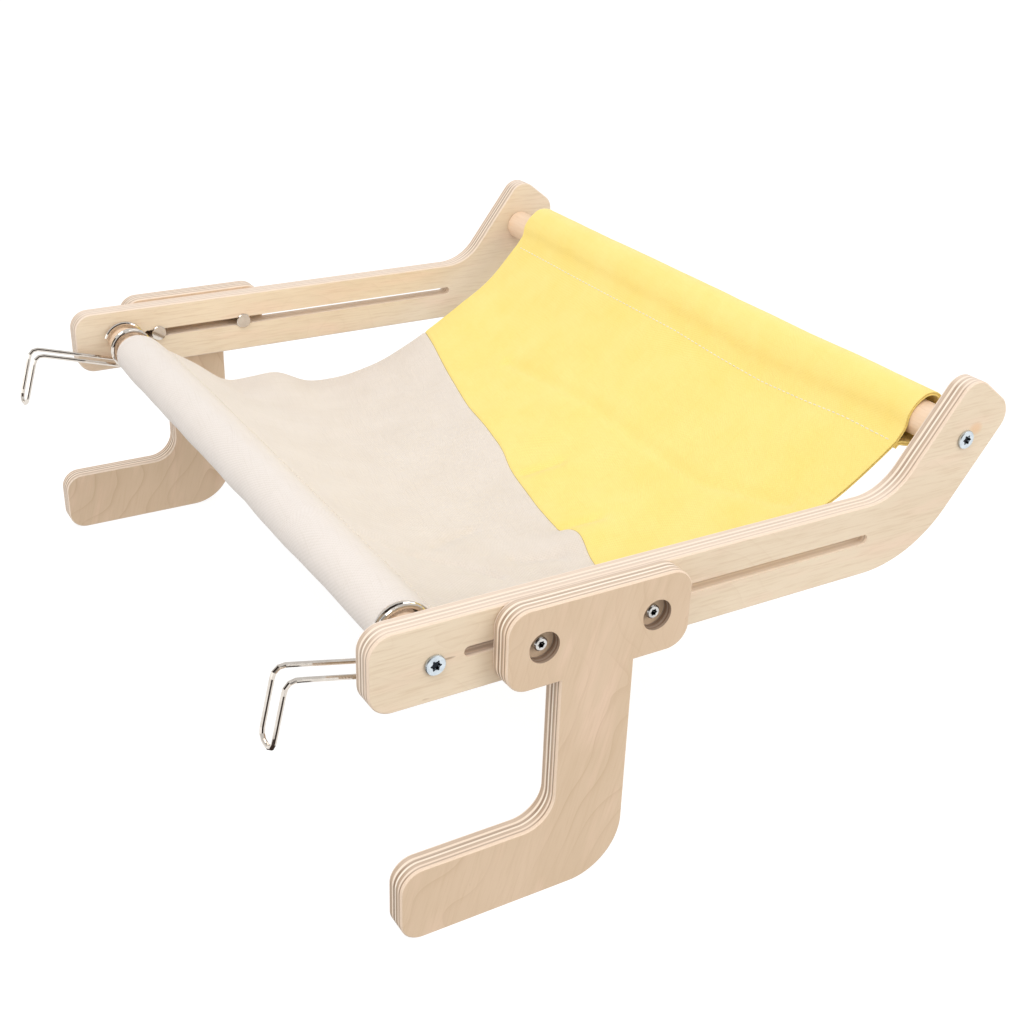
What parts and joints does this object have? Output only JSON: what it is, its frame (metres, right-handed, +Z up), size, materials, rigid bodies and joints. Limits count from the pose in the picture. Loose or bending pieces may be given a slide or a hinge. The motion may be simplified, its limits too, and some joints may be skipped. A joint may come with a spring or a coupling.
{
  "type": "window sill cat hammock",
  "caption": "Cat perch for a window sill: a cloth hammock on two dowels between bent plywood rails, with sliding J-shaped legs and swivelling wire hooks.",
  "frame": {"origin": "on the front dowel's axis, midway between the two side rails", "axes": "+X from the hooks towards the raised back end, +Y to the left rail (left as seen looking along +X), +Z up"},
  "size_m": [0.4926, 0.5906, 0.2594],
  "materials": {
    "rail_plywood": "pale birch plywood, fine sanded, clear matt",
    "leg_plywood": "pale birch plywood, fine sanded, clear matt",
    "dowel_wood": "sanded hardwood, bare",
    "cream_canvas": "cotton canvas, undyed, with small flecks",
    "yellow_canvas": "cotton canvas, dyed yellow",
    "zinc_steel": "zinc plated, satin",
    "nickel_steel": "nickel plated, bright",
    "brass": "plain, hidden in the dowels"
  },
  "bodies": {
    "frame": {"right_side_rail": "rail_plywood", "right_front_dowel_screw": "zinc_steel", "right_back_dowel_screw": "zinc_steel", "right_front_insert": "brass", "right_back_insert": "brass", "left_side_rail": "rail_plywood", "left_front_dowel_screw": "zinc_steel", "left_back_dowel_screw": "zinc_steel", "left_front_insert": "brass", "left_back_insert": "brass", "front_dowel": "dowel_wood", "back_dowel": "dowel_wood", "hammock_front_panel": "cream_canvas", "hammock_back_panel": "yellow_canvas"},
    "right_leg_unit": {"right_leg": "leg_plywood", "right_front_leg_bolt": "zinc_steel", "right_rear_leg_bolt": "zinc_steel", "right_front_cap_nut": "nickel_steel", "right_rear_cap_nut": "nickel_steel"},
    "left_leg_unit": {"left_leg": "leg_plywood", "left_front_leg_bolt": "zinc_steel", "left_rear_leg_bolt": "zinc_steel", "left_front_cap_nut": "nickel_steel", "left_rear_cap_nut": "nickel_steel"},
    "right_hook": {"right_wire_hook": "nickel_steel"},
    "left_hook": {"left_wire_hook": "nickel_steel"}
  },
  "joints": [
    {"name": "right_leg_slide", "type": "slide", "parent": "frame", "child": "right_leg_unit", "axis": [1, 0, 0], "range_m": [-0.028, 0.166]},
    {"name": "left_leg_slide", "type": "slide", "parent": "frame", "child": "left_leg_unit", "axis": [1, 0, 0], "range_m": [0, 0.194]},
    {"name": "right_hook_swivel", "type": "hinge", "parent": "frame", "child": "right_hook", "pos_m": [0, -0.253, 0], "axis": [0, 1, 0], "continuous": true},
    {"name": "left_hook_swivel", "type": "hinge", "parent": "frame", "child": "left_hook", "pos_m": [0, 0.253, 0], "axis": [0, 1, 0], "continuous": true}
  ]
}
